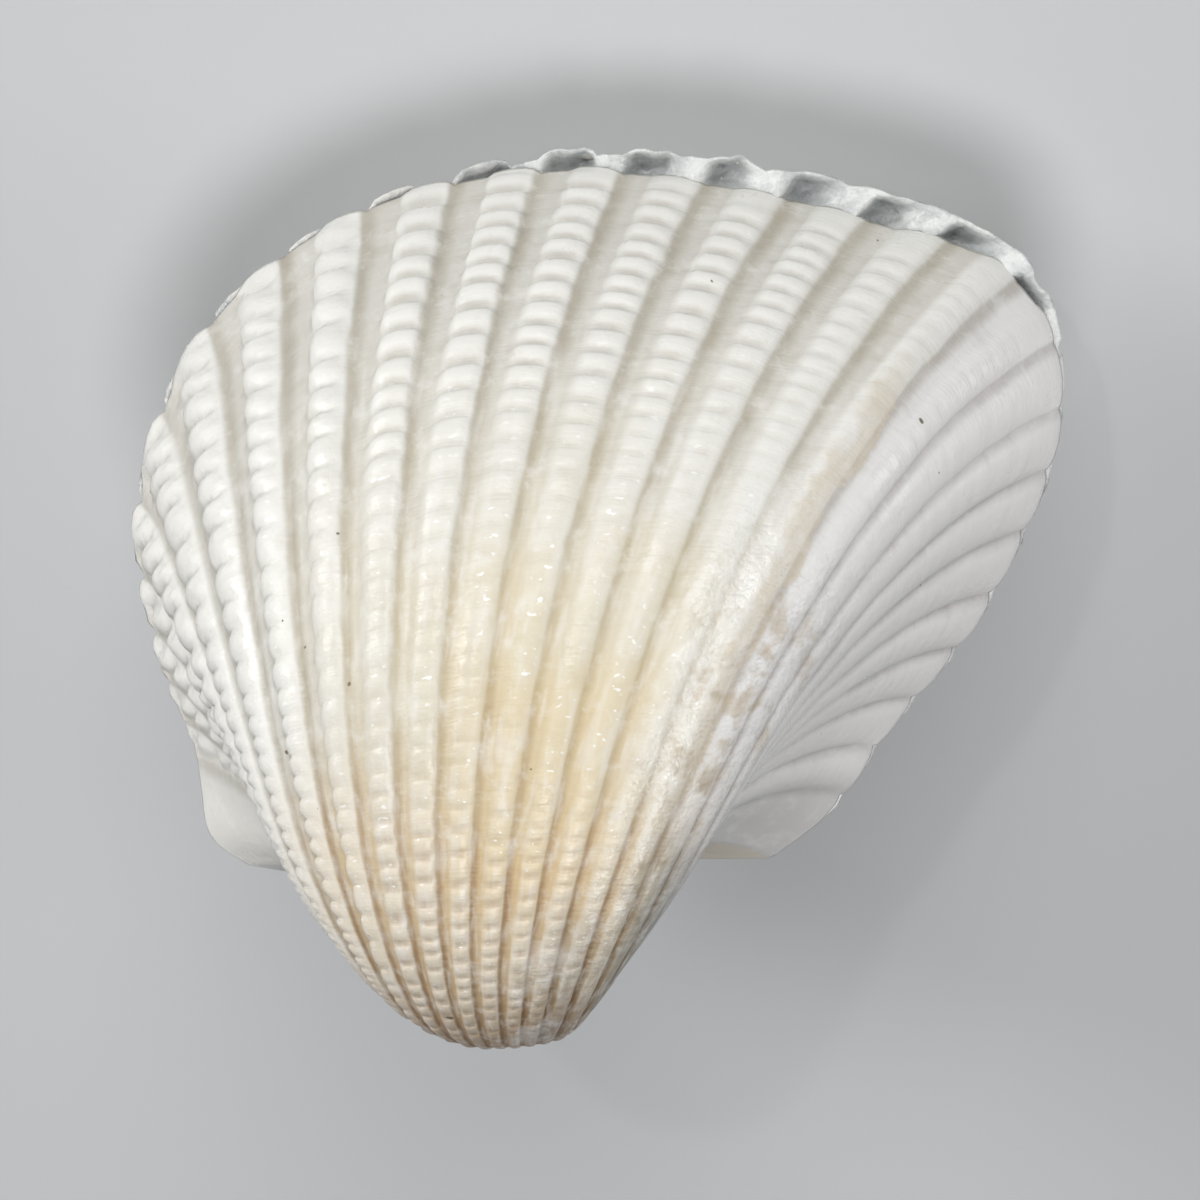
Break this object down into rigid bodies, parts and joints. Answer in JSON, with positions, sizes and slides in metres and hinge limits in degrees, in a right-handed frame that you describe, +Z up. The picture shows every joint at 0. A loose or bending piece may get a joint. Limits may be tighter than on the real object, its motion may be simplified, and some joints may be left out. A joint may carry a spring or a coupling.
{
  "type": "ark clam shell",
  "caption": "Closed pair of ribbed ark clam valves with beaded ribs, hooked beaks and a dried ligament, lying on its left valve.",
  "frame": {"origin": "on the surface that the shell lies on, under the middle of the bounding box", "axes": "+X towards the rear of the shell along its length, +Y towards its belly edge, +Z up"},
  "size_m": [0.0606, 0.0562, 0.0494],
  "materials": {
    "right_valve": "white shell with cream and tan grooves, satin to glossy, finely striated",
    "left_valve": "white shell with cream and tan grooves, satin, finely striated",
    "ligament": "dark brown dried ligament, matt, with fine chevron lines"
  },
  "bodies": {
    "root": {"right_valve": "right_valve", "left_valve": "left_valve", "ligament": "ligament"}
  },
  "joints": []
}
